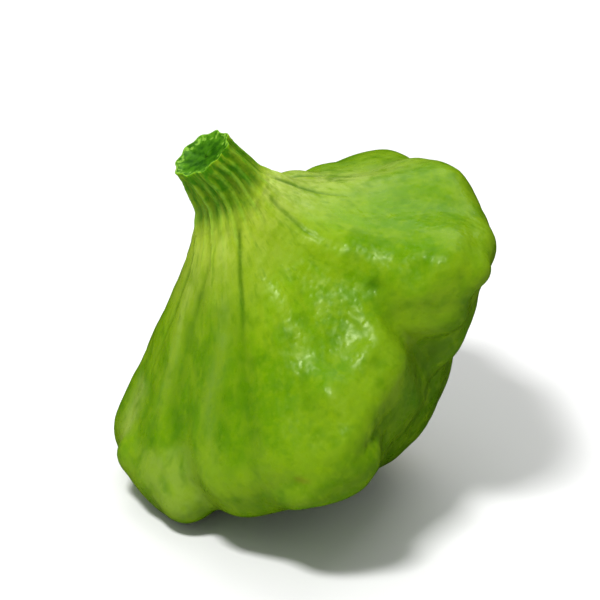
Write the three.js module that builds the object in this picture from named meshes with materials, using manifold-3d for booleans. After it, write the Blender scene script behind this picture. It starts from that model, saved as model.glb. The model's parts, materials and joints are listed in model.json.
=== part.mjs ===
// A green pattypan squash with its cut stem, lying tipped over on the table: it rests on its dome
// and on the two scallops of its rim either side of bearing 0.
// The fruit is grown from one revolved outline about the stem's axis (+Z, rim crest at height 0),
// which is then scalloped, ribbed at the neck, and drawn over to one side towards the stem.
import * as THREE from "three";
import { mergeVertices } from "three/addons/utils/BufferGeometryUtils.js";
import Module from "manifold-3d";

// Fruit, in millimetres
const RIM_RADIUS = 37; // stem's axis to the rim's mean crest
const DOME_DEPTH = 26.6; // rim crest down to the blossom end
const DOME_RADIUS = 25.7; // the dome where it runs out into the rim's underside
const SHOULDER_HEIGHT = 26.6; // rim crest up to the foot of the neck
const SHOULDER_HOLLOW = 2.2; // how far the shoulder dips below a straight cone
const NECK_RADIUS = 7.2; // where the fruit ends and the stem begins
const NECK_RISE = 2.5; // neck above the shoulder
const NECK_DRIFT = new THREE.Vector2(-6, 2.4); // the neck grew to one side of the rim's centre

// Stem, in millimetres
const STEM_LENGTH = 9.9;
const STEM_RADIUS = 4.9; // its waist, just under the cut
const CUT_RADIUS = 5; // its cut end
const CUT_HOLLOW = 0.8; // how far the cut end is dished
const STEM_BEND = new THREE.Vector2(-1.5, 1.9); // cut end's offset from the neck
const STEM_GAP = 0.3; // clearance between the stem's foot and the fruit
const STEM_RIBS = 10;
const RIB_DEPTH = 0.3; // rib crest above the mean surface
const RIB_FADE = 6; // height over which the ribs rise out of the shoulder

// Scallops of the rim. Each one starts at the valley of its bearing, in degrees round from the side
// that the fruit rests on. notch is the valley's depth below its neighbours' crests, and fade is how
// quickly it dies out up the shoulder. reach and droop are how far the scallop's own crest stands
// out past RIM_RADIUS and hangs below the rim, in millimetres.
const SCALLOPS = [
  { valley: 28, notch: 3.7, fade: 1.8, reach: 0.2, droop: 0.7 },
  { valley: 65, notch: 0.4, fade: 2.5, reach: 4, droop: 3.4 },
  { valley: 90, notch: 0.8, fade: 3.5, reach: -4, droop: 1 },
  { valley: 118, notch: 7.3, fade: 3.8, reach: 3, droop: -2.8 },
  { valley: 157, notch: 1.2, fade: 2, reach: 0.8, droop: -2.9 },
  { valley: 194, notch: 2.8, fade: 2.5, reach: 0, droop: 0 },
  { valley: 229, notch: 3, fade: 3, reach: 0, droop: 0 },
  { valley: 263, notch: 3.2, fade: 2.5, reach: 0, droop: 0 },
  { valley: 295, notch: 2.8, fade: 2.8, reach: -3.2, droop: 0.6 },
  { valley: 328, notch: 3.4, fade: 2.4, reach: 1.5, droop: 0 },
  { valley: 357, notch: 2.7, fade: 2.5, reach: 1.5, droop: 0.8 },
];
const VALLEY_ROUNDING = 0.22; // 0 is a sharp fold, 1 a plain wave
const REACH_FADE = 1.5; // power by which the crests' reach dies out up the shoulder
const DOME_CLEAR = 0.45; // share of RIM_RADIUS, round the blossom end, that has no scallops
const DOME_FADE = 1.5; // power by which they die out down the dome
const DROOP_FADE = 3;

// How it lies, in degrees
const TURN = 4.5; // about the stem's axis, which brings the two low scallops level
const LEAN = 38.7; // stem's axis from upright, towards bearing 0
const HEADING = 194.3; // where bearing 0 points on the table, round from +X
const CONTACT_DEPTH = 0.2; // how far the skin is pressed flat where it touches the table

// Fineness of the mesh
const SPOKES = 90;
const RINGS = 36;
const STEM_RINGS = 8;

const { clamp, degToRad, euclideanModulo, lerp, radToDeg, smoothstep } = THREE.MathUtils;
const NECK_HEIGHT = SHOULDER_HEIGHT + NECK_RISE;
const wasm = await Module();
wasm.setup();

// Half the fruit's section, from the blossom end to the neck, as radius and height.
function fruitOutline() {
  const outline = new THREE.SplineCurve([
    new THREE.Vector2(0, -DOME_DEPTH),
    new THREE.Vector2(DOME_RADIUS * 0.5, DOME_RADIUS * 0.134 - DOME_DEPTH),
    new THREE.Vector2(DOME_RADIUS * 0.85, DOME_RADIUS * 0.47 - DOME_DEPTH),
    new THREE.Vector2(DOME_RADIUS + 2, -DOME_DEPTH * 0.42),
    new THREE.Vector2(RIM_RADIUS - 4.5, -7),
    new THREE.Vector2(RIM_RADIUS - 0.8, -3.6),
    new THREE.Vector2(RIM_RADIUS, 0),
    new THREE.Vector2(RIM_RADIUS - 1, 4.2),
    new THREE.Vector2(RIM_RADIUS - 4.5, 8.5 - SHOULDER_HOLLOW * 0.5),
    new THREE.Vector2(RIM_RADIUS * 0.7, SHOULDER_HEIGHT * 0.52 - SHOULDER_HOLLOW),
    new THREE.Vector2(RIM_RADIUS * 0.46, SHOULDER_HEIGHT * 0.76 - SHOULDER_HOLLOW * 0.8),
    new THREE.Vector2(RIM_RADIUS * 0.28, SHOULDER_HEIGHT * 0.95 - SHOULDER_HOLLOW * 0.2),
    new THREE.Vector2(NECK_RADIUS, NECK_HEIGHT),
  ]);
  return [...outline.getPoints(RINGS), new THREE.Vector2(0, NECK_HEIGHT)];
}

// Half the stem's section, from its foot to its dished cut end.
function stemOutline() {
  const side = new THREE.SplineCurve([
    new THREE.Vector2(NECK_RADIUS, NECK_HEIGHT + STEM_GAP),
    new THREE.Vector2(lerp(NECK_RADIUS, STEM_RADIUS, 0.6), NECK_HEIGHT + STEM_LENGTH * 0.25),
    new THREE.Vector2(STEM_RADIUS, NECK_HEIGHT + STEM_LENGTH * 0.65),
    new THREE.Vector2(CUT_RADIUS, NECK_HEIGHT + STEM_LENGTH),
  ]);
  const foot = new THREE.Vector2(0, NECK_HEIGHT + STEM_GAP);
  const middle = new THREE.Vector2(0, NECK_HEIGHT + STEM_LENGTH - CUT_HOLLOW);
  return [foot, ...side.getPoints(STEM_RINGS), middle];
}

// The scallops at a bearing: crest is 1 on a scallop's crest and 0 in a valley, notch and fade are
// those of the nearer valley, and reach and droop run smoothly from each crest to the next.
function scallopAt(bearing) {
  const count = SCALLOPS.length;
  const first = SCALLOPS[0].valley;
  const turned = first + euclideanModulo(bearing - first, 360);
  const valley = (i) => SCALLOPS[i % count].valley + 360 * Math.floor(i / count);
  const middle = (i) => (valley(i + count) + valley(i + count + 1)) / 2 - 360;
  const here = SCALLOPS.findLastIndex((scallop) => scallop.valley <= turned);
  const across = (turned - middle(here)) / (valley(here + 1) - valley(here)); // -0.5 to 0.5
  const wave = Math.hypot(Math.cos(Math.PI * across), VALLEY_ROUNDING) - VALLEY_ROUNDING;
  const crest = wave / (Math.hypot(1, VALLEY_ROUNDING) - VALLEY_ROUNDING);

  const before = across < 0 ? here - 1 : here;
  const share = smoothstep(turned, middle(before), middle(before + 1));
  const left = SCALLOPS[(before + count) % count];
  const right = SCALLOPS[(before + 1) % count];
  const { notch, fade } = SCALLOPS[(across < 0 ? here : here + 1) % count];
  const reach = lerp(left.reach, right.reach, share);
  const droop = lerp(left.droop, right.droop, share);
  return { crest, notch, fade, reach, droop };
}

// How far the neck and stem have grown sideways at a height, and how fast the stem does there.
function drift(height) {
  const rise = clamp(height, 0, NECK_HEIGHT) / SHOULDER_HEIGHT;
  const along = clamp((height - NECK_HEIGHT) / STEM_LENGTH, 0, 1);
  const neckSlope = NECK_DRIFT.clone().multiplyScalar((2 * rise) / SHOULDER_HEIGHT);
  const straight = neckSlope.clone().multiplyScalar(STEM_LENGTH);
  const bend = STEM_BEND.clone().sub(straight);
  const offset = NECK_DRIFT.clone().multiplyScalar(rise ** 2);
  offset.addScaledVector(straight, along).addScaledVector(bend, along ** 2);
  const slope = neckSlope.addScaledVector(bend, (2 * along) / STEM_LENGTH).multiplyScalar(along);
  return { offset, slope };
}

// Moves every point of a plainly revolved shape to where it grew.
function grow(geometry) {
  const points = geometry.getAttribute("position");
  const point = new THREE.Vector3();
  for (let i = 0; i < points.count; i++) {
    point.fromBufferAttribute(points, i);
    const angle = Math.atan2(point.y, point.x);
    const plain = Math.hypot(point.x, point.y);
    const share = plain / RIM_RADIUS;
    const { crest, notch, fade, reach, droop } = scallopAt(radToDeg(angle));
    const onDome = clamp((share - DOME_CLEAR) / (1 - DOME_CLEAR), 0, 1) ** DOME_FADE;
    const pushed = reach * (point.z < 0 ? onDome : share ** REACH_FADE);
    const folded = notch * (1 - crest) * (point.z < 0 ? onDome : share ** fade);
    const ribbed = smoothstep(point.z, NECK_HEIGHT - RIB_FADE, NECK_HEIGHT);
    const rib = RIB_DEPTH * ribbed * Math.cos(STEM_RIBS * angle) * clamp(plain / STEM_RADIUS, 0, 1);
    const radius = plain + pushed - folded + rib;
    const { offset, slope } = drift(point.z);
    const flat = new THREE.Vector2(Math.cos(angle), Math.sin(angle)).multiplyScalar(radius);
    const height = point.z - droop * crest * share ** DROOP_FADE - flat.dot(slope);
    points.setXYZ(i, flat.x + offset.x, flat.y + offset.y, height);
  }
  return geometry;
}

// A closed shape revolved about +Z from an outline that starts and ends on the axis.
function revolve(outline) {
  const geometry = new THREE.LatheGeometry(outline, SPOKES);
  geometry.rotateX(Math.PI / 2);
  return weld(geometry);
}

// The same shape with each point held once.
function weld(geometry) {
  geometry.deleteAttribute("normal");
  geometry.deleteAttribute("uv");
  return mergeVertices(geometry, 1e-3);
}

function toSolid(geometry) {
  const { position } = geometry.attributes;
  const triVerts = new Uint32Array(geometry.index.array);
  return new wasm.Manifold(new wasm.Mesh({ numProp: 3, vertProperties: position.array, triVerts }));
}

function toGeometry(solid) {
  const { vertProperties, triVerts } = solid.getMesh();
  const geometry = new THREE.BufferGeometry();
  geometry.setAttribute("position", new THREE.BufferAttribute(vertProperties, 3));
  return geometry.setIndex(new THREE.BufferAttribute(triVerts, 1));
}

// The fruit and its stem, tipped over as they lie.
const tipped = new THREE.Matrix4().makeRotationZ(degToRad(HEADING));
tipped.multiply(new THREE.Matrix4().makeRotationY(degToRad(LEAN)));
tipped.multiply(new THREE.Matrix4().makeRotationZ(degToRad(TURN)));
const lyingFruit = grow(revolve(fruitOutline())).applyMatrix4(tipped);
const lyingStem = grow(revolve(stemOutline())).applyMatrix4(tipped);

// The table presses three small flats on the fruit.
lyingFruit.computeBoundingBox();
const tableTop = lyingFruit.boundingBox.min.z + CONTACT_DEPTH;
const table = new THREE.BoxGeometry(4 * RIM_RADIUS, 4 * RIM_RADIUS, RIM_RADIUS);
table.translate(0, 0, tableTop - RIM_RADIUS / 2);
const pressedFruit = toGeometry(toSolid(lyingFruit).subtract(toSolid(weld(table))));

const fruit = new THREE.Mesh(
  pressedFruit,
  new THREE.MeshStandardMaterial({ color: 0x7fae1c, roughness: 0.42, metalness: 0 }),
);
fruit.name = "fruit";

const stem = new THREE.Mesh(
  lyingStem,
  new THREE.MeshStandardMaterial({ color: 0x4f8a12, roughness: 0.55, metalness: 0 }),
);
stem.name = "stem";

// The origin is under the middle of the lying squash, at table height.
const squash = new THREE.Group();
squash.add(fruit, stem);
const middle = new THREE.Box3().setFromObject(squash, true).getCenter(new THREE.Vector3());
squash.position.set(-middle.x, -middle.y, -tableTop);

export default squash;
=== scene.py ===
import json
import random
from math import cos, pi, radians, sin

import bpy
import numpy as np
from mathutils import Matrix, Vector

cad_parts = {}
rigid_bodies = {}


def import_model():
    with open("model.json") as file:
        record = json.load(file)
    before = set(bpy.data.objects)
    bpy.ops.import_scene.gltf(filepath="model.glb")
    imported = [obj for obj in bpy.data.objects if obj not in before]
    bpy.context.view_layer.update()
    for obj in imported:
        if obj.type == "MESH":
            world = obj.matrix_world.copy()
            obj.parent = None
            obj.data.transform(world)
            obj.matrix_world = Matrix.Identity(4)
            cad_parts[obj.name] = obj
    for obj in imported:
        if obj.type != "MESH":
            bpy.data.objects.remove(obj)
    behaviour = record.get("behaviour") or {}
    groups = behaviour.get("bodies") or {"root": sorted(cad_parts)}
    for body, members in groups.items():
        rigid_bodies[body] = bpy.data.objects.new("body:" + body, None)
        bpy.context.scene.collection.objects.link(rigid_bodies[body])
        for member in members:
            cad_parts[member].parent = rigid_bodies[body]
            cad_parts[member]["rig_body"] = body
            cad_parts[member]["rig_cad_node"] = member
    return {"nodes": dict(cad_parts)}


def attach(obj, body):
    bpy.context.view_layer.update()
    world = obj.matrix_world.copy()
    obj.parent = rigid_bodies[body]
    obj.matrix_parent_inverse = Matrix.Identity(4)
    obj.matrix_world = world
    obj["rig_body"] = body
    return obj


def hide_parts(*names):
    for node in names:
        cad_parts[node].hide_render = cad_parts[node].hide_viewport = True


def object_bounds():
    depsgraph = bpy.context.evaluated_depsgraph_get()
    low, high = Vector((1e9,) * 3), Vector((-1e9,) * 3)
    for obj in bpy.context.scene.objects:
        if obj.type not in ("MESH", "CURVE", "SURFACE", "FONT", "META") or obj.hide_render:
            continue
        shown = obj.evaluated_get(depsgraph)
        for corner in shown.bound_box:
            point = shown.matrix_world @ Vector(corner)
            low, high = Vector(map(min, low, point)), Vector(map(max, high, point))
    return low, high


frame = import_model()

cad_low, cad_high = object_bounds()

# The fruit
# A young pattypan squash, one grown piece of skin and flesh: a domed shoulder, a lobed rim and a
# rounded underside. Its stem grows out of the neck, so the two are shaped as one skin first.
# It has tipped over onto its rim, so it is turned upright to be worked on, and laid down at the end.
MM = 0.001
RIM_MIDDLE = Vector((0.28908, 1.81024, 26.04822)) * MM
TURN = radians(4.5)
LEAN = radians(38.7)
HEADING = radians(194.3)
DOUBLES_WITHIN = 0.002 * MM

lying = Matrix.Rotation(HEADING, 4, "Z") @ Matrix.Rotation(LEAN, 4, "Y") @ Matrix.Rotation(TURN, 4, "Z")
lying = Matrix.Translation(RIM_MIDDLE) @ lying


def deselect_all():
    if bpy.context.object and bpy.context.object.mode != "OBJECT":
        bpy.ops.object.mode_set(mode="OBJECT")
    bpy.ops.object.select_all(action="DESELECT")


deselect_all()
for name in ("fruit", "stem"):
    frame["nodes"][name].select_set(True)
bpy.context.view_layer.objects.active = frame["nodes"]["fruit"]
bpy.ops.object.duplicate()
bpy.ops.object.join()
squash = bpy.context.object
squash.name = "squash_skin"
bpy.ops.object.parent_clear(type="CLEAR_KEEP_TRANSFORM")
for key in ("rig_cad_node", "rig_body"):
    if key in squash:
        del squash[key]
squash.data.materials.clear()

squash.matrix_world = lying.inverted()
bpy.ops.object.transform_apply(location=True, rotation=True, scale=True)
bpy.ops.object.mode_set(mode="EDIT")
bpy.ops.mesh.select_all(action="SELECT")
bpy.ops.mesh.remove_doubles(threshold=DOUBLES_WITHIN)
bpy.ops.mesh.tris_convert_to_quads(
    face_threshold=radians(60), shape_threshold=radians(60), topology_influence=2
)
bpy.ops.object.mode_set(mode="OBJECT")

# The neck and stem grew a little sideways. Places on the skin are told as if they had grown
# straight: a height in mm above the rim's crest, and a bearing in degrees round the stem.
SHOULDER_HEIGHT = 26.6
NECK_HEIGHT = 29.1
NECK_DRIFT = (-6.0, 2.4)
STEM_LENGTH = 9.9
STEM_BEND = (-1.5, 1.9)


def points_of(ob):
    flat = np.empty(len(ob.data.vertices) * 3, np.float32)
    ob.data.vertices.foreach_get("co", flat)
    return flat.reshape(-1, 3).astype(float)


def straightened(ob):
    """Every point in mm, with the sideways growth of the neck and stem taken out."""
    place = points_of(ob) / MM
    height = place[:, 2]
    rise = np.clip(height, 0, NECK_HEIGHT) / SHOULDER_HEIGHT
    along = np.clip((height - NECK_HEIGHT) / STEM_LENGTH, 0, 1)
    for axis in (0, 1):
        straight = NECK_DRIFT[axis] * 2 * NECK_HEIGHT / SHOULDER_HEIGHT**2 * STEM_LENGTH
        place[:, axis] -= NECK_DRIFT[axis] * rise**2 + straight * along
        place[:, axis] -= (STEM_BEND[axis] - straight) * along**2
    return place


def make_active(ob):
    deselect_all()
    ob.select_set(True)
    bpy.context.view_layer.objects.active = ob


def pick(ob, chosen, kind="VERT"):
    """Opens a piece in edit mode with only the chosen points or faces selected."""
    make_active(ob)
    bpy.ops.object.mode_set(mode="EDIT")
    bpy.ops.mesh.select_mode(type=kind)
    bpy.ops.mesh.select_all(action="DESELECT")
    bpy.ops.object.mode_set(mode="OBJECT")
    parts = ob.data.vertices if kind == "VERT" else ob.data.polygons
    parts.foreach_set("select", np.asarray(chosen, bool))
    bpy.ops.object.mode_set(mode="EDIT")


# The two are opened where they meet and bridged into one skin.
place = straightened(squash)
radius = np.hypot(place[:, 0], place[:, 1])
neck_centres = (radius < 1) & (abs(place[:, 2] - NECK_HEIGHT) < 1.5)
pick(squash, neck_centres)
bpy.ops.mesh.delete(type="VERT")
bpy.ops.mesh.select_all(action="DESELECT")
bpy.ops.mesh.select_non_manifold()
bpy.ops.mesh.bridge_edge_loops()
bpy.ops.mesh.select_all(action="SELECT")
bpy.ops.mesh.normals_make_consistent(inside=False)
bpy.ops.object.mode_set(mode="OBJECT")


def read_mark(name):
    if name not in squash.data.attributes:
        squash.data.attributes.new(name, "FLOAT", "POINT")
    held = np.empty(len(squash.data.vertices), np.float32)
    squash.data.attributes[name].data.foreach_get("value", held)
    return held


def add_to_mark(name, amount):
    """A mark on the skin, 0 to 1, that a colour can follow."""
    held = np.clip(read_mark(name) + amount, 0, 1).astype(np.float32)
    squash.data.attributes[name].data.foreach_set("value", held)


def mark_picked(name):
    chosen = np.empty(len(squash.data.vertices), bool)
    squash.data.vertices.foreach_get("select", chosen)
    add_to_mark(name, chosen.astype(float))


# The stem was cut on a slant, which left a thin green rim round a slightly dished pith.
CUT_HEIGHT = 37.4
CUT_SLANT = (("X", -11), ("Y", 17))
CUT_SHIFT = Vector((-0.4, 0, 1.3)) * MM
RIM_WIDTH = 0.3 * MM
PITH_INSET = 0.8 * MM
PITH_DEPTH = 0.25 * MM
PITH_MIDDLE = 1.3 * MM

place = straightened(squash)
add_to_mark("stem", (place[:, 2] > NECK_HEIGHT + 0.15).astype(float))
cut_end = place[:, 2] > CUT_HEIGHT
cut_middle = Vector(points_of(squash)[cut_end].mean(axis=0))
pick(squash, cut_end)
for axis, angle in CUT_SLANT:
    bpy.ops.transform.rotate(
        value=radians(angle),
        orient_axis=axis,
        center_override=cut_middle,
        use_proportional_edit=True,
        proportional_size=5 * MM,
    )
bpy.ops.transform.translate(value=CUT_SHIFT, use_proportional_edit=True, proportional_size=6 * MM)

inside_cut = (place[:, 2] > CUT_HEIGHT - 0.4) & (np.hypot(place[:, 0], place[:, 1]) < 1)
pick(squash, inside_cut)
bpy.ops.mesh.select_more()
bpy.ops.transform.edge_crease(value=0.6)
bpy.ops.mesh.inset(thickness=RIM_WIDTH)
bpy.ops.object.mode_set(mode="OBJECT")
mark_picked("cut")
bpy.ops.object.mode_set(mode="EDIT")
bpy.ops.mesh.inset(thickness=PITH_INSET, depth=-PITH_DEPTH)
bpy.ops.mesh.inset(thickness=PITH_MIDDLE)
bpy.ops.object.mode_set(mode="OBJECT")
mark_picked("cut")
mark_picked("pith")


def apply_modifiers(ob):
    make_active(ob)
    for modifier in list(ob.modifiers):
        bpy.ops.object.modifier_apply(modifier=modifier.name)


def make_finer():
    finer = squash.modifiers.new("finer", "SUBSURF")
    finer.levels = 1
    finer.render_levels = 1
    apply_modifiers(squash)


def smooth_neck(reach, times):
    """Smooths the skin a little above and below the neck, where the stem grows out of the fruit."""
    pick(squash, abs(straightened(squash)[:, 2] - NECK_HEIGHT) < reach)
    bpy.ops.mesh.vertices_smooth(factor=0.5, repeat=times)
    bpy.ops.object.mode_set(mode="OBJECT")


def press(chosen, depth, size, falloff="SMOOTH"):
    """Presses the chosen points in, or out when the depth is below zero, with what lies round them."""
    pick(squash, chosen)
    bpy.ops.transform.shrink_fatten(
        value=-depth * MM,
        use_proportional_edit=True,
        proportional_edit_falloff=falloff,
        proportional_size=size * MM,
    )
    bpy.ops.object.mode_set(mode="OBJECT")


def line_of(route, place):
    """How far each point is from a route down the skin, in mm, and how far along the route it is."""
    heights = [point[0] for point in route]
    bearings = np.unwrap([radians(point[1]) for point in route])
    bearing = np.interp(-place[:, 2], [-h for h in heights], bearings)
    away = (np.arctan2(place[:, 1], place[:, 0]) - bearing + pi) % (2 * pi) - pi
    distance = abs(away) * np.hypot(place[:, 0], place[:, 1]) + 50 * read_mark("cut")
    along = (heights[0] - place[:, 2]) / (heights[0] - heights[-1])
    return distance, along


def crease(route, depth, width, falloff="SMOOTH"):
    """Presses a groove along a route in three passes, each shorter than the last, so its ends taper."""
    place = straightened(squash)
    distance, along = line_of(route, place)
    spokes = 180 if len(squash.data.vertices) < 20000 else 360
    reach = np.maximum(0.12, np.hypot(place[:, 0], place[:, 1]) * pi / spokes * 1.05)
    for trim in (0.0, 0.14, 0.3):
        on_line = (distance < reach) & (along >= trim * 0.5) & (along <= 1 - trim)
        press(on_line, depth / 3, width, falloff)


def band(height, start, stop, depth, width):
    """Presses along the rim, from one bearing to the next, at one height."""
    place = straightened(squash)
    bearing = np.degrees(np.arctan2(place[:, 1], place[:, 0])) % 360
    press((abs(place[:, 2] - height) < 0.7) & (bearing > start) & (bearing < stop), depth, width)


def dent(height, bearing, depth, size):
    """Presses one soft dent, or raises a swelling when the depth is below zero."""
    place = straightened(squash)
    away = (np.arctan2(place[:, 1], place[:, 0]) - radians(bearing) + pi) % (2 * pi) - pi
    far = abs(place[:, 2] - height) + abs(away) * np.hypot(place[:, 0], place[:, 1])
    press(far == far.min(), depth, size)


# Broad folds between the lobes, and the swellings beside them, are as wide as a fingertip.
# Each row is a route of (height, bearing) down the skin, then the fold's depth and width in mm.
FRONT_FOLDS = (
    ([(22.4, 23), (19.1, 20), (14.9, 19), (11.2, 19), (8.4, 24), (4.1, 31), (-0.5, 36)], 0.55, 4),
    ([(13, 32), (9, 34), (5, 39), (0, 43)], -0.35, 3),
    ([(18, 63), (15, 60), (11.7, 59), (6, 57), (0, 54)], 0.4, 4),
    ([(10.5, 125), (8, 121), (4, 118), (0, 116)], 0.55, 3),
    ([(12, 118), (9, 114), (6, 111), (3, 109)], -0.35, 3.2),
    ([(15, 174), (11.6, 168), (9, 163), (5.5, 158)], 0.25, 3.5),
    ([(13, 344), (9, 349), (6.5, 353), (0, 357)], 0.3, 3),
)
BACK_FOLDS = (229, 263, 295, 328)
UNDERSIDE_FOLDS = (10, 36, 84, 119, 163, 190, 229, 263, 295, 328, 357)
chance = random.Random(5)

make_finer()
smooth_neck(2.5, 6)
for route, depth, width in FRONT_FOLDS:
    crease(route, depth, width)
for bearing in BACK_FOLDS:
    sway = [chance.uniform(-4, 4) for _ in range(3)]
    route = [(22, bearing + sway[0]), (15, bearing + sway[1]), (9, bearing + sway[2]), (0, bearing)]
    crease(route, chance.uniform(0.35, 0.6), 4)
for bearing in UNDERSIDE_FOLDS:
    sway = chance.uniform(-4, 4)
    crease([(-5, bearing), (-12, bearing + sway), (-19, bearing)], chance.uniform(0.25, 0.45), 4)

# The lobe that stands proud has a keen edge, and its neighbour a ledge with a hollow above it.
band(1.4, 80, 112, -0.5, 3)
band(-4.5, 91, 116, 0.9, 4.5)
crease([(3.2, 118), (1.2, 121), (-0.2, 123), (-2.1, 127), (-4.1, 130)], -1.0, 3.2)
crease([(-1.5, 117), (-4, 121), (-6, 125), (-8.5, 130)], 0.9, 3.5)
band(0.8, 134, 152, -0.4, 3)
band(-6, 120, 156, 0.6, 5)

# Hollows and swellings that give the lobes their outline, and the shoulders their roundness.
# Each row is a height and a bearing, then how deep it is pressed and how far across it reaches.
HOLLOWS = (
    (-2.5, 136, 0.8, 4),
    (-13, 122, 0.7, 7),
    (-15, 140, 0.6, 7),
    (-7, 137, 0.8, 5),
    (-20, 128, 0.5, 6),
    (8.6, 131, 0.8, 3.4),
    (5.8, 127, -0.5, 2.4),
    (9, 143, -0.3, 3),
    (6, 140, 0.25, 3),
)
SWELLINGS = (
    (-3, 70, 1.3, 6),
    (-2.5, 80, 0.7, 4),
    (-1.5, 63, 1.0, 4),
    (-1.5, 23, 1.5, 6.5),
    (4.6, 1, 1.2, 6),
    (3.8, 9, 0.5, 5),
    (0, 149, 0.9, 6),
    (1, 159, 1.0, 5),
    (0, 141, 0.6, 4),
    (3.5, 163, 0.5, 6),
    (5, 172, 0.6, 5),
    (7, 190, 0.9, 6),
    (20, 206, 1.0, 6),
    (13, 217, 0.7, 6),
    (26, 178, 0.7, 5),
    (31, 356, 0.5, 4),
    (35, 358, 0.3, 3.5),
    (17.5, 92, 0.5, 5),
    (18.5, 128, 0.4, 4),
    (8.3, 87, 0.6, 3.8),
    (6, 102.5, 0.5, 3),
    (-2, 60, 0.7, 4),
    (-2, 67, 0.7, 4),
    (5.5, 355, 1.0, 6),
    (1, 2, 0.6, 5),
    (-1.8, 64, 0.7, 4),
    (-1, 24, 1.2, 7),
    (-5, 86, 0.5, 4),
    (-5, 85, 0.7, 4),
    (6, 359, 0.8, 4.5),
    (0.4, 138, 0.5, 3),
    (-1.4, 132, -0.6, 3.5),
    (-16, 104, -0.4, 6),
)
for height, bearing, depth, size in HOLLOWS:
    dent(height, bearing, depth, size)
band(9.4, 93, 108, 0.6, 5)
dent(11.8, 86, 0.4, 4)
dent(6.4, 86, -0.45, 4.5)
band(12, 122, 140, 0.5, 5)
for height, bearing, rise, size in SWELLINGS:
    dent(height, bearing, -rise, size)
for _ in range(60):
    height = chance.uniform(-22, 24)
    dent(height, chance.uniform(0, 360), chance.uniform(-0.16, 0.2), chance.uniform(2.5, 6.5))


def draw_line(name, route, strength, width):
    """Marks a line along a route, tapered at its ends."""
    distance, along = line_of(route, straightened(squash))
    ends = np.clip(along * 12, 0, 1) * np.clip((1 - along) * 2.5, 0, 1)
    add_to_mark(name, strength * ends * np.exp(-((distance / width) ** 2)))


# Fine folds that run down from the neck, drawn tight as the fruit swelled, each darkened with a line of
# painted shade, and the broad painted shade that lies in the folds between the lobes. A row ends in the
# line's strength, and a shade's in its width.
FINE_FOLDS = (
    ([(29, 79), (26, 73), (23.5, 68), (20.9, 66), (18.7, 64), (16.3, 61)], 0.3, 0.85),
    ([(28.3, 137), (27.5, 135), (24, 132), (21, 129), (18.5, 128)], 0.2, 0.6),
    ([(28, 170), (24, 170), (21, 169), (17.8, 167), (15, 166)], 0.25, 0.8),
    ([(28.4, 36), (25, 31), (22, 23), (18, 20)], 0.2, 0.3),
    ([(28, 195), (24, 197), (19, 196), (14, 199)], 0.3, 0.8),
    ([(28, 228), (24, 225), (19, 227), (13, 229)], 0.3, 0.8),
    ([(28, 252), (24, 253), (20, 251)], 0.2, 0.6),
    ([(28, 270), (23, 266), (17, 264), (12, 263)], 0.3, 0.8),
    ([(28, 300), (22, 297), (16, 296), (10, 294)], 0.3, 0.8),
    ([(28, 318), (24, 317), (20, 316)], 0.2, 0.6),
    ([(28, 335), (22, 331), (16, 328), (9, 328)], 0.3, 0.8),
    ([(28, 0), (23, 357), (17, 354), (12, 353)], 0.25, 0.5),
)
PAINTED_FOLD_SHADES = (
    ([(24, 28), (19.1, 20), (14.9, 19), (11.2, 19), (8.4, 24), (4.1, 31), (-0.5, 36)], 0.4, 1.6),
    ([(21, 66), (16.3, 61), (11.7, 59), (4, 57), (-3, 54)], 0.3, 2),
    ([(22, 50), (16, 44), (10, 46), (4, 48)], 0.25, 5),
    ([(12, 128), (9, 120), (4, 117), (0, 116)], 0.25, 1.2),
)
PIT = (9.8, 124)
PIT_SHADE = [(10.9, 124), (10.2, 124), (9.7, 124), (8.7, 123)]
RIM_GROOVE = [(-1, 82), (-1.5, 86), (-2.5, 92), (-4, 101)]

make_finer()
smooth_neck(1.8, 12)
for route, depth, strength in FINE_FOLDS:
    crease(route, depth, 0.9, "SHARP")
    draw_line("fold_shade", route, strength, 0.45)
for route, strength, width in PAINTED_FOLD_SHADES:
    draw_line("fold_shade", route, strength, width)
dent(*PIT, 0.3, 1.5)
draw_line("fold_shade", PIT_SHADE, 0.6, 0.7)
for _ in range(34):
    height = chance.uniform(6, 22)
    bearing = chance.gauss(125, 22)
    dent(height, bearing, -chance.uniform(0.06, 0.13), chance.uniform(0.9, 1.3))
# The rim groove, with painted shade along it.
crease(RIM_GROOVE, 0.35, 1.2)
draw_line("fold_shade", RIM_GROOVE, 0.5, 0.7)

# Pale streaks that fade down from the neck, the broad first one partly painted sheen, two that run on
# over the lowest lobes and are painted light from the table, and a bruise.
PALE_STREAKS_AND_PAINTED_LIGHT = (
    ([(30, 186), (20, 186), (12, 188), (5, 190)], 1.0, 7),
    ([(30, 150), (24, 152), (18, 150)], 0.5, 3),
    ([(30, 52), (24, 50), (18, 50), (12, 40), (4, 44)], 0.3, 1.8),
    ([(28, 10), (20, 8), (14, 12), (8, 10)], 0.3, 1.6),
    ([(30, 235), (20, 240), (10, 242)], 0.6, 4),
    ([(30, 285), (20, 282), (10, 284)], 0.6, 3),
    ([(30, 316), (20, 312), (12, 314)], 0.5, 3),
    ([(8, 18), (3.6, 24), (-4, 25)], 0.3, 7),
    ([(12, 350), (8, 352), (4, 357), (1, 2)], 0.55, 2.6),
)
for route, strength, width in PALE_STREAKS_AND_PAINTED_LIGHT:
    draw_line("pale_and_painted_light", route, strength, width)
draw_line("bruise", [(2.2, 68), (1.3, 69), (0.4, 71)], 0.8, 0.8)

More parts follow.
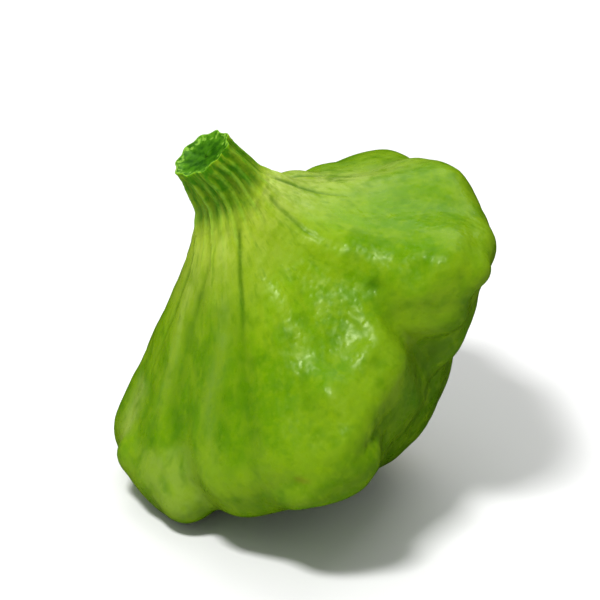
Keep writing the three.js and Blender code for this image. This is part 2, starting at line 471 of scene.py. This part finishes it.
# Ten ribs run up the stem and sink into the shoulder, with ten slighter ones between them.
for rib in range(20):
    bearing = 18 * rib
    wander = chance.uniform(-2.5, 2.5)
    share = 1.0 if rib % 2 == 0 else 0.6
    route = [(39.8, bearing), (34, bearing + wander * 0.4), (29, bearing + wander)]
    route += [(24 + chance.uniform(-2, 2), bearing + wander)]
    crease(route, -0.32 * share, 0.6)
    draw_line("rib", route, 0.9 * share, 0.34)
    furrow = [(40, bearing + 9), (34, bearing + 9), (29, bearing + 9 + wander), (26, bearing + 9)]
    crease(furrow, 0.12, 0.6)
    # painted shade along the furrow
    draw_line("fold_shade", furrow, 0.5, 0.4)

# Short wrinkles round the blossom end.
for _ in range(14):
    bearing = chance.uniform(0, 360)
    start = chance.uniform(-16, -20)
    bend = chance.uniform(-25, 25)
    route = [(start, bearing), (start - 2, bearing + bend * 0.3), (start - 4, bearing + bend)]
    crease(route, 0.14, 0.8)
    # painted shade along the wrinkle
    draw_line("fold_shade", route, 0.3, 0.4)

# The blossom end: a corky ring of ten small scallops round a dark dimple.
SCALLOPS = 10
RING_RADIUS = 3.7
place = straightened(squash)
radius = np.hypot(place[:, 0], place[:, 1])
below = place[:, 2] < -15
press(below & (radius < 5.2) & (radius > 4.6), 0.12, 1.0)
for scallop in range(SCALLOPS):
    angle = radians(360 / SCALLOPS * scallop + chance.uniform(-4, 4))
    away = np.hypot(place[:, 0] - RING_RADIUS * cos(angle), place[:, 1] - RING_RADIUS * sin(angle))
    press(below & (away < 0.45), -0.22, 1.1)
press(below & (radius < 2.6) & (radius > 2.1), 0.3, 0.8)
press(below & (radius < 0.5), 0.5, 1.1)

# Uneven growth all over, in lumps of three sizes.
for size, strength in ((9, 0.3), (3.2, 0.12), (1.5, 0.06)):
    lumps = bpy.data.textures.new("lumps", "CLOUDS")
    lumps.noise_scale = size * MM
    lumps.noise_depth = 1
    rough = squash.modifiers.new("rough", "DISPLACE")
    rough.texture = lumps
    rough.texture_coords = "LOCAL"
    rough.mid_level = 0.5
    rough.strength = strength * MM
apply_modifiers(squash)

# What the colours follow: the straightened place of each point, and the hollows of the skin, found
# with the dirt operator so that painted shade can darken them.
grown = squash.data.attributes.new("grown", "FLOAT_VECTOR", "POINT")
grown.data.foreach_set("vector", straightened(squash).astype(np.float32).ravel())
hollow = squash.data.color_attributes.new(name="hollow", type="FLOAT_COLOR", domain="POINT")
squash.data.color_attributes.active_color = hollow
hollow.data.foreach_set("color", np.ones(len(squash.data.vertices) * 4, np.float32))
make_active(squash)
bpy.ops.paint.vertex_color_dirt(
    blur_iterations=2,
    blur_strength=1,
    dirt_angle=radians(60),
    clean_angle=radians(120),
    normalize=False,
)

# Back to how it lies, and flat where it meets the table.
squash.matrix_world = lying
make_active(squash)
bpy.ops.object.transform_apply(location=True, rotation=True, scale=True)
pick(squash, points_of(squash)[:, 2] < 0)
bpy.ops.transform.resize(value=(1, 1, 0), center_override=(0, 0, 0))
bpy.ops.object.mode_set(mode="OBJECT")

# The stem is a piece of its own from the neck up. Both pieces keep the shading of the whole, so
# the join is not seen, and then both sides of it are closed.
make_active(squash)
bpy.ops.object.shade_smooth()
bpy.ops.object.duplicate()
whole = bpy.context.object
on_stem = read_mark("stem") > 0.45
pick(squash, [all(on_stem[i] for i in face.vertices) for face in squash.data.polygons], "FACE")
bpy.ops.mesh.separate(type="SELECTED")
bpy.ops.object.mode_set(mode="OBJECT")
stem = next(ob for ob in bpy.context.selected_objects if ob != squash)
stem.name = "squash_stem"


def pick_open_edges(ob):
    make_active(ob)
    bpy.ops.object.mode_set(mode="EDIT")
    bpy.ops.mesh.select_mode(type="EDGE")
    bpy.ops.mesh.select_all(action="DESELECT")
    bpy.ops.mesh.select_non_manifold()


for piece in (squash, stem):
    pick_open_edges(piece)
    bpy.ops.mesh.mark_sharp()
    bpy.ops.object.mode_set(mode="OBJECT")
    shading = piece.modifiers.new("shading", "DATA_TRANSFER")
    shading.object = whole
    shading.use_loop_data = True
    shading.data_types_loops = {"CUSTOM_NORMAL"}
    shading.loop_mapping = "NEAREST_POLYNOR"
    apply_modifiers(piece)
    pick_open_edges(piece)
    bpy.ops.mesh.edge_face_add()
    bpy.ops.object.mode_set(mode="OBJECT")
bpy.data.objects.remove(whole)


def paint(red, green, blue):
    """A linear colour from the numbers of a paint chip."""
    shares = [part / 255 for part in (red, green, blue)]
    linear = [((share + 0.055) / 1.055) ** 2.4 if share > 0.04 else share / 12.92 for share in shares]
    return (*linear, 1)


# From the blossom end up: the heights in mm that a colour comes in between, and the colour.
# Part of it is painted light: painted shade darkens the underside, painted light from the table
# makes the rim crest paler, and painted sheen makes the shoulder by the neck paler.
UNDERSIDE_WITH_PAINTED_SHADE = (86, 124, 2)
UP_THE_FRUIT_WITH_PAINTED_LIGHT = (
    (-15, -3, (102, 138, 4)),
    (-3, 2, (138, 172, 22)),
    (4, 11, (106, 152, 0)),
    (9, 20, (142, 183, 0)),
    (16, 27, (182, 204, 62)),
)
STEM_GREEN = (66, 138, 0)
# From the rim of the blossom scar in: the distances from its middle, and the corky colour.
INTO_THE_SCAR = (
    (2.9, 2.3, (106, 130, 26)),
    (1.9, 1.3, (164, 176, 70)),
    (0.9, 0.4, (98, 84, 24)),
)
GLOSS_ROUGHNESS = 0.3
STEM_ROUGHER = 0.1
SCAR_ROUGHER = 0.3


def skin_material(name):
    """Waxy squash skin, with painted shade in its folds and hollows, painted light and sheen on its pale
    streaks, and the marks that the ribs, cut end and blossom scar leave on it.
    """
    material = bpy.data.materials.new(name)
    material.use_nodes = True
    nodes = material.node_tree.nodes
    links = material.node_tree.links
    surface = nodes["Principled BSDF"]

    def node(kind, **settings):
        made = nodes.new(kind)
        for key, value in settings.items():
            setattr(made, key, value)
        return made

    def mark(name, output="Fac"):
        return node("ShaderNodeAttribute", attribute_name=name).outputs[output]

    def feed(socket, value):
        if isinstance(value, (int, float, tuple)):
            socket.default_value = value
        else:
            links.new(value, socket)

    def maths(operation, first, second=0.0):
        made = node("ShaderNodeMath", operation=operation)
        feed(made.inputs[0], first)
        feed(made.inputs[1], second)
        return made.outputs[0]

    def vector_maths(operation, first, second=None, output=0):
        made = node("ShaderNodeVectorMath", operation=operation)
        feed(made.inputs[0], first)
        if second is not None:
            feed(made.inputs[1], second)
        return made.outputs[output]

    def spread(value, low, high, to_low=0.0, to_high=1.0):
        made = node("ShaderNodeMapRange", interpolation_type="SMOOTHSTEP")
        feed(made.inputs["Value"], value)
        numbers = {"From Min": low, "From Max": high, "To Min": to_low, "To Max": to_high}
        for key, number in numbers.items():
            made.inputs[key].default_value = number
        return made.outputs[0]

    def mix(amount, first, second):
        made = node("ShaderNodeMix", data_type="RGBA")
        feed(made.inputs[0], amount)
        feed(made.inputs[6], first)
        feed(made.inputs[7], second)
        return made.outputs[2]

    def noise(vector, scale, detail=2.0, rough=0.5):
        made = node("ShaderNodeTexNoise")
        links.new(vector, made.inputs["Vector"])
        made.inputs["Scale"].default_value = scale
        made.inputs["Detail"].default_value = detail
        made.inputs["Roughness"].default_value = rough
        return made.outputs[0]

    def cells(vector, scale, feature):
        made = node("ShaderNodeTexVoronoi", feature=feature)
        links.new(vector, made.inputs["Vector"])
        made.inputs["Scale"].default_value = scale
        return made.outputs["Distance"]

    # height, distance from the middle, and a place that stretches noise into streaks down the skin
    grown = mark("grown", "Vector")
    apart = node("ShaderNodeSeparateXYZ")
    links.new(grown, apart.inputs[0])
    height = apart.outputs[2]
    flat = vector_maths("MULTIPLY", grown, (1, 1, 0))
    radius = vector_maths("LENGTH", flat, output="Value")
    lift = node("ShaderNodeCombineXYZ")
    links.new(maths("MULTIPLY", height, 0.035), lift.inputs[2])
    streak_place = vector_maths("ADD", vector_maths("NORMALIZE", flat), lift.outputs[0])

    # colour up the fruit and into the stem, with painted shade low down and painted sheen near the neck
    wander = maths("MULTIPLY", maths("SUBTRACT", noise(grown, 0.12, 3), 0.5), 16)
    level = maths("ADD", height, wander)
    colour = paint(*UNDERSIDE_WITH_PAINTED_SHADE)
    for low, high, shade in UP_THE_FRUIT_WITH_PAINTED_LIGHT:
        colour = mix(spread(level, low, high), colour, paint(*shade))
    growth = maths("MULTIPLY", maths("SUBTRACT", noise(streak_place, 7, 2, 0.6), 0.5), 9)
    tip = spread(maths("ADD", height, growth), 28.5, 34.5)
    colour = mix(tip, colour, paint(*STEM_GREEN))
    # pale streaks, partly painted sheen, and painted light on the lowest lobes
    colour = mix(maths("MULTIPLY", mark("pale_and_painted_light"), 0.85), colour, paint(210, 226, 118))

    # streaks down the lobes, soft mottling and fine pale flecks
    streaks = spread(noise(streak_place, 9, 3, 0.6), 0.42, 0.66)
    upper = spread(height, 2, 22, 0.18, 0.58)
    colour = mix(maths("MULTIPLY", streaks, upper), colour, paint(168, 194, 30))
    dark_streaks = spread(noise(streak_place, 15, 2, 0.5), 0.52, 0.72)
    colour = mix(maths("MULTIPLY", dark_streaks, 0.36), colour, paint(84, 130, 0))
    mottle = spread(noise(grown, 0.45, 3, 0.55), 0.46, 0.66)
    colour = mix(maths("MULTIPLY", mottle, 0.45), colour, paint(150, 182, 12))
    dusk = spread(noise(grown, 0.22, 2, 0.5), 0.5, 0.7)
    dusk = maths("MULTIPLY", dusk, spread(height, 15, 25, 0.48, 0.12))
    colour = mix(dusk, colour, paint(74, 124, 0))
    fleck = spread(cells(grown, 0.85, "F1"), 0.08, 0.4, 1, 0)
    sparse = spread(noise(grown, 0.2, 1), 0.4, 0.7)
    fleck = maths("MULTIPLY", maths("MULTIPLY", fleck, sparse), 0.22)
    colour = mix(fleck, colour, paint(170, 196, 50))

    # painted shade in the folds and hollows, then the ribs and the bruise
    rib = maths("MULTIPLY", mark("rib"), spread(noise(grown, 0.7, 2), 0.38, 0.58, 0.3, 1))
    # painted shade along the folds
    colour = mix(maths("MULTIPLY", mark("fold_shade"), 0.85), colour, paint(48, 94, 2))
    colour = mix(maths("MULTIPLY", rib, 0.75), colour, paint(150, 196, 60))
    # painted shade in the hollows, less of it near the neck
    shaded = spread(mark("hollow"), 0.5, 0.25, 0, 0.5)
    shaded = maths("MULTIPLY", shaded, spread(height, 24, 28, 1, 0.6))
    colour = mix(shaded, colour, paint(56, 102, 2))
    colour = mix(maths("MULTIPLY", mark("bruise"), 0.6), colour, paint(104, 104, 16))

    # cut end of the stem
    fibres = spread(noise(grown, 0.8, 3, 0.5), 0.36, 0.68)
    face = mix(fibres, paint(42, 94, 2), paint(72, 126, 14))
    face = mix(mark("pith"), face, mix(fibres, paint(28, 76, 2), paint(54, 106, 6)))
    ragged = maths("MULTIPLY", mark("cut"), spread(noise(grown, 1.1, 2), 0.35, 0.65, 0.5, 1.6))
    ragged = maths("ADD", ragged, mark("pith"))
    colour = mix(spread(ragged, 0.02, 0.5), colour, paint(120, 168, 52))
    colour = mix(spread(ragged, 0.4, 0.9), colour, face)

    # blossom scar, a ragged ring of corky lobes round a brown middle
    turn = maths("ARCTAN2", apart.outputs[1], apart.outputs[0])
    lobes = maths("COSINE", maths("MULTIPLY", turn, SCALLOPS))
    uneven = maths("MULTIPLY", maths("SUBTRACT", noise(grown, 0.5, 3), 0.5), 2.6)
    across = maths("ADD", maths("ADD", radius, uneven), maths("MULTIPLY", lobes, -0.22))
    on_scar = maths("MULTIPLY", spread(across, 5.1, 3.9), spread(height, -15, -20))
    cork = mix(noise(grown, 1.2, 3), paint(190, 198, 112), paint(142, 158, 62))
    cork = mix(spread(lobes, -0.4, -0.9, 0, 0.6), cork, paint(112, 136, 36))
    for far, near, shade in INTO_THE_SCAR:
        cork = mix(spread(across, far, near), cork, paint(*shade))
    colour = mix(on_scar, colour, cork)
    links.new(colour, surface.inputs["Base Color"])

    # wax, duller on the stem and dull on the scar
    dull = spread(noise(grown, 0.7, 3), 0.3, 0.7, GLOSS_ROUGHNESS - 0.05, GLOSS_ROUGHNESS + 0.1)
    dull = maths("ADD", dull, spread(height, 28, 33, 0, STEM_ROUGHER))
    dull = maths("ADD", dull, maths("MULTIPLY", on_scar, SCAR_ROUGHER))
    links.new(dull, surface.inputs["Roughness"])
    surface.inputs["Subsurface Weight"].default_value = 0.08
    surface.inputs["Subsurface Radius"].default_value = (1.0, 1.0, 0.2)
    surface.inputs["Subsurface Scale"].default_value = 0.0025
    surface.inputs["IOR"].default_value = 1.3
    surface.inputs["Specular Tint"].default_value = (0.9, 1.0, 0.6, 1)
    surface.inputs["Specular IOR Level"].default_value = 0.36

    # pores and faint ridges down the skin
    pores = maths("MULTIPLY", cells(grown, 0.9, "SMOOTH_F1"), 0.9)
    relief = maths("ADD", pores, noise(grown, 0.55, 1.5, 0.5))
    relief = maths("ADD", relief, maths("MULTIPLY", noise(streak_place, 10, 1), 0.15))
    bump = node("ShaderNodeBump")
    bump.inputs["Strength"].default_value = 0.3
    bump.inputs["Distance"].default_value = 0.35 * MM
    links.new(relief, bump.inputs["Height"])
    links.new(bump.outputs[0], surface.inputs["Normal"])
    return material


squash.data.materials.append(skin_material("waxy_skin"))
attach(squash, "root")
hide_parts("fruit")

# The stem
# The short ribbed stalk that the fruit hung from, grown in one with it and cut across when it was
# picked. It was shaped with the fruit above and parted from it at the neck, and its skin runs on.
stem.data.materials.append(skin_material("stem_skin"))
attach(stem, "root")
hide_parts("stem")

# The table
# A plain matt white table top, much wider than the view. It lights the squash from below, and is
# kept out of its gloss.
deselect_all()
bpy.ops.mesh.primitive_plane_add(size=4, location=(0, 0, 0))
table = bpy.context.object
table.name = "table"
white = bpy.data.materials.new("table_white")
white.use_nodes = True
white.node_tree.nodes["Principled BSDF"].inputs["Base Color"].default_value = (0.8, 0.8, 0.8, 1)
white.node_tree.nodes["Principled BSDF"].inputs["Roughness"].default_value = 0.55
table.data.materials.append(white)
table.visible_glossy = False

# The light
# A small softbox overhead to the front left, a broad one high behind, and an even white room.
world = bpy.data.worlds.new("room")
bpy.context.scene.world = world
world.use_nodes = True
world.node_tree.nodes["Background"].inputs[0].default_value = (1, 1, 1, 1)
world.node_tree.nodes["Background"].inputs[1].default_value = 0.42
world.cycles_visibility.glossy = False
middle = (cad_low + cad_high) / 2


def softbox(name, place, size, power):
    light = bpy.data.lights.new(name, "AREA")
    light.shape = "RECTANGLE"
    light.size = size[0]
    light.size_y = size[1]
    light.energy = power
    ob = bpy.data.objects.new(name, light)
    bpy.context.scene.collection.objects.link(ob)
    ob.location = middle + Vector(place)
    ob.rotation_mode = "QUATERNION"
    ob.rotation_quaternion = Vector(place).to_track_quat("Z", "Y")


softbox("front", (-0.18, -0.22, 0.64), (0.16, 0.12), 5.0)
softbox("back", (0.1, 0.45, 0.65), (0.8, 0.6), 3.4)

# The camera
# It looks down at the squash from the front with a long lens, whose view is as wide as a hand.
CAMERA_HEIGHT = radians(28)
CAMERA_DISTANCE = 0.9
VIEW_WIDTH = 0.1
camera = bpy.data.cameras.new("camera")
camera_ob = bpy.data.objects.new("camera", camera)
bpy.context.scene.collection.objects.link(camera_ob)
bpy.context.scene.camera = camera_ob
towards_camera = Vector((0, -cos(CAMERA_HEIGHT), sin(CAMERA_HEIGHT)))
camera_ob.location = middle + towards_camera * CAMERA_DISTANCE
camera_ob.rotation_mode = "QUATERNION"
camera_ob.rotation_quaternion = towards_camera.to_track_quat("Z", "Y")
camera.sensor_width = 36
camera.lens = camera.sensor_width * CAMERA_DISTANCE / VIEW_WIDTH
camera.clip_start = 0.05
camera.clip_end = 20
bpy.context.scene.view_settings.view_transform = "Standard"
